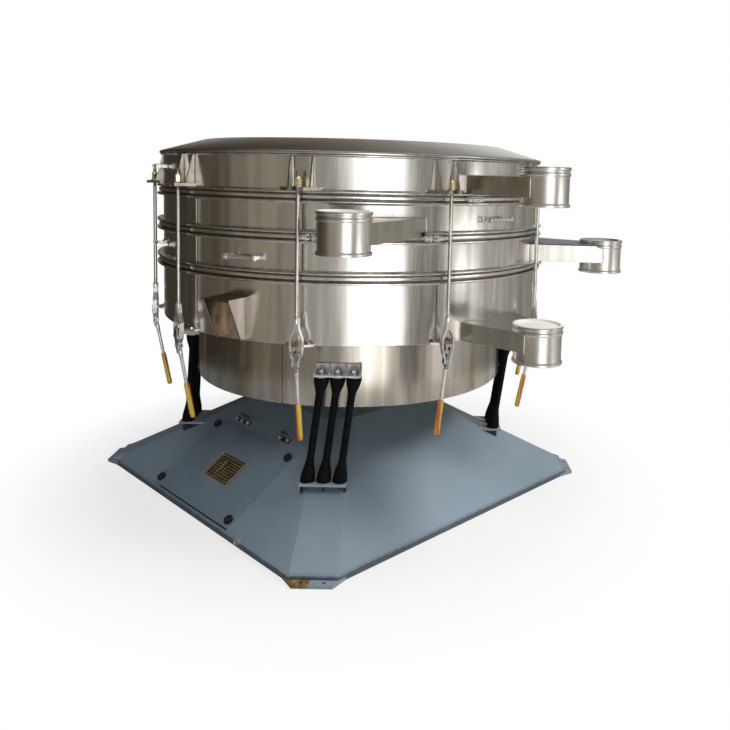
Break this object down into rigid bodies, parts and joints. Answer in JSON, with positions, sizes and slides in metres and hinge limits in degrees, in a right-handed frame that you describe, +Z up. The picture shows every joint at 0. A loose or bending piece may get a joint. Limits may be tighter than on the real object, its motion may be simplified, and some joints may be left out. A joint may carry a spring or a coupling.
{
  "type": "swing sieve machine",
  "caption": "Round multi-deck swing sieve with lever clamps and side outlets, carried by flexible rods on a pyramid base.",
  "frame": {"origin": "centre of the base on the floor, which is the centre of both anchor hole patterns", "axes": "+Z up, -Y towards the hatch side of the base, +X towards the side with the lowest outlet"},
  "size_m": [2.2437, 1.9648, 1.597],
  "materials": {
    "stainless": "brushed stainless sheet with soft streaks",
    "plated_steel": "bright plated clamps, yellow grips on the levers, brass nuts on the rods",
    "base_paint": "worn blue-grey paint",
    "black_plastic": "black knobs",
    "plate_brass": "bare dull plate",
    "black_rubber": "matt black flexible rods"
  },
  "bodies": {
    "machine": {"base_housing": "base_paint", "corner_pads": "base_paint", "hatch_cover": "base_paint", "hatch_knobs": "black_plastic", "name_plate": "plate_brass", "leg_feet": "base_paint", "flexible_rods": "black_rubber", "leg_heads": "stainless", "skirt_drum": "stainless", "bottom_frame": "stainless", "lower_frame": "stainless", "upper_frame": "stainless", "top_frame": "stainless", "lid": "stainless", "clamp_bands": "stainless", "band_latches": "stainless", "outlets": "stainless", "clamp_brackets": "stainless", "lever_lugs": "stainless", "bar_handles": "stainless", "box_brackets": "stainless"},
    "lever_1": {"clamp_lever_1": "plated_steel"},
    "rod_1": {"tension_rod_1": "plated_steel"},
    "lever_2": {"clamp_lever_2": "plated_steel"},
    "rod_2": {"tension_rod_2": "plated_steel"},
    "lever_3": {"clamp_lever_3": "plated_steel"},
    "rod_3": {"tension_rod_3": "plated_steel"},
    "lever_4": {"clamp_lever_4": "plated_steel"},
    "rod_4": {"tension_rod_4": "plated_steel"},
    "lever_5": {"clamp_lever_5": "plated_steel"},
    "rod_5": {"tension_rod_5": "plated_steel"},
    "lever_6": {"clamp_lever_6": "plated_steel"},
    "rod_6": {"tension_rod_6": "plated_steel"},
    "lever_7": {"clamp_lever_7": "plated_steel"},
    "rod_7": {"tension_rod_7": "plated_steel"},
    "lever_8": {"clamp_lever_8": "plated_steel"},
    "rod_8": {"tension_rod_8": "plated_steel"},
    "lever_9": {"clamp_lever_9": "plated_steel"},
    "rod_9": {"tension_rod_9": "plated_steel"},
    "lever_10": {"clamp_lever_10": "plated_steel"},
    "rod_10": {"tension_rod_10": "plated_steel"}
  },
  "joints": [
    {"name": "lever_1_pivot", "type": "hinge", "parent": "machine", "child": "lever_1", "pos_m": [-0.00935, -0.87785, 0.77], "axis": [-0.9998, -0.0175, 0], "range_deg": [0, 100]},
    {"name": "rod_1_link", "type": "hinge", "parent": "lever_1", "child": "rod_1", "pos_m": [-0.00942, -0.87386, 0.73], "axis": [-0.9998, -0.0175, 0], "range_deg": [-100, 0]},
    {"name": "lever_2_pivot", "type": "hinge", "parent": "machine", "child": "lever_2", "pos_m": [0.54813, -0.6859, 0.77], "axis": [-0.7986, -0.6018, 0], "range_deg": [0, 100]},
    {"name": "rod_2_link", "type": "hinge", "parent": "lever_2", "child": "rod_2", "pos_m": [0.54572, -0.6827, 0.73], "axis": [-0.7986, -0.6018, 0], "range_deg": [-100, 0]},
    {"name": "lever_3_pivot", "type": "hinge", "parent": "machine", "child": "lever_3", "pos_m": [0.88631, -0.20292, 0.77], "axis": [-0.2924, -0.9563, 0], "range_deg": [0, 100]},
    {"name": "rod_3_link", "type": "hinge", "parent": "lever_3", "child": "rod_3", "pos_m": [0.88249, -0.20175, 0.73], "axis": [-0.2924, -0.9563, 0], "range_deg": [-100, 0]},
    {"name": "lever_4_pivot", "type": "hinge", "parent": "machine", "child": "lever_4", "pos_m": [0.87602, 0.38659, 0.77], "axis": [0.3256, -0.9455, 0], "range_deg": [0, 100]},
    {"name": "rod_4_link", "type": "hinge", "parent": "lever_4", "child": "rod_4", "pos_m": [0.87224, 0.38529, 0.73], "axis": [0.3256, -0.9455, 0], "range_deg": [-100, 0]},
    {"name": "lever_5_pivot", "type": "hinge", "parent": "machine", "child": "lever_5", "pos_m": [0.52119, 0.85747, 0.77], "axis": [0.8192, -0.5736, 0], "range_deg": [0, 100]},
    {"name": "rod_5_link", "type": "hinge", "parent": "lever_5", "child": "rod_5", "pos_m": [0.5189, 0.85419, 0.73], "axis": [0.8192, -0.5736, 0], "range_deg": [-100, 0]},
    {"name": "lever_6_pivot", "type": "hinge", "parent": "machine", "child": "lever_6", "pos_m": [-0.04265, 1.02985, 0.77], "axis": [0.9998, 0.0175, 0], "range_deg": [0, 100]},
    {"name": "rod_6_link", "type": "hinge", "parent": "lever_6", "child": "rod_6", "pos_m": [-0.04258, 1.02586, 0.73], "axis": [0.9998, 0.0175, 0], "range_deg": [-100, 0]},
    {"name": "lever_7_pivot", "type": "hinge", "parent": "machine", "child": "lever_7", "pos_m": [-0.60013, 0.8379, 0.77], "axis": [0.7986, 0.6018, 0], "range_deg": [0, 100]},
    {"name": "rod_7_link", "type": "hinge", "parent": "lever_7", "child": "rod_7", "pos_m": [-0.59772, 0.8347, 0.73], "axis": [0.7986, 0.6018, 0], "range_deg": [-100, 0]},
    {"name": "lever_8_pivot", "type": "hinge", "parent": "machine", "child": "lever_8", "pos_m": [-0.93831, 0.35492, 0.77], "axis": [0.2924, 0.9563, 0], "range_deg": [0, 100]},
    {"name": "rod_8_link", "type": "hinge", "parent": "lever_8", "child": "rod_8", "pos_m": [-0.93449, 0.35375, 0.73], "axis": [0.2924, 0.9563, 0], "range_deg": [-100, 0]},
    {"name": "lever_9_pivot", "type": "hinge", "parent": "machine", "child": "lever_9", "pos_m": [-0.92802, -0.23459, 0.77], "axis": [-0.3256, 0.9455, 0], "range_deg": [0, 100]},
    {"name": "rod_9_link", "type": "hinge", "parent": "lever_9", "child": "rod_9", "pos_m": [-0.92424, -0.23329, 0.73], "axis": [-0.3256, 0.9455, 0], "range_deg": [-100, 0]},
    {"name": "lever_10_pivot", "type": "hinge", "parent": "machine", "child": "lever_10", "pos_m": [-0.57319, -0.70547, 0.77], "axis": [-0.8192, 0.5736, 0], "range_deg": [0, 100]},
    {"name": "rod_10_link", "type": "hinge", "parent": "lever_10", "child": "rod_10", "pos_m": [-0.5709, -0.70219, 0.73], "axis": [-0.8192, 0.5736, 0], "range_deg": [-100, 0]}
  ],
  "couplings": [
    {"joint": "rod_1_link", "follows": "lever_1_pivot", "ratio": -1},
    {"joint": "rod_2_link", "follows": "lever_2_pivot", "ratio": -1},
    {"joint": "rod_3_link", "follows": "lever_3_pivot", "ratio": -1},
    {"joint": "rod_4_link", "follows": "lever_4_pivot", "ratio": -1},
    {"joint": "rod_5_link", "follows": "lever_5_pivot", "ratio": -1},
    {"joint": "rod_6_link", "follows": "lever_6_pivot", "ratio": -1},
    {"joint": "rod_7_link", "follows": "lever_7_pivot", "ratio": -1},
    {"joint": "rod_8_link", "follows": "lever_8_pivot", "ratio": -1},
    {"joint": "rod_9_link", "follows": "lever_9_pivot", "ratio": -1},
    {"joint": "rod_10_link", "follows": "lever_10_pivot", "ratio": -1}
  ]
}
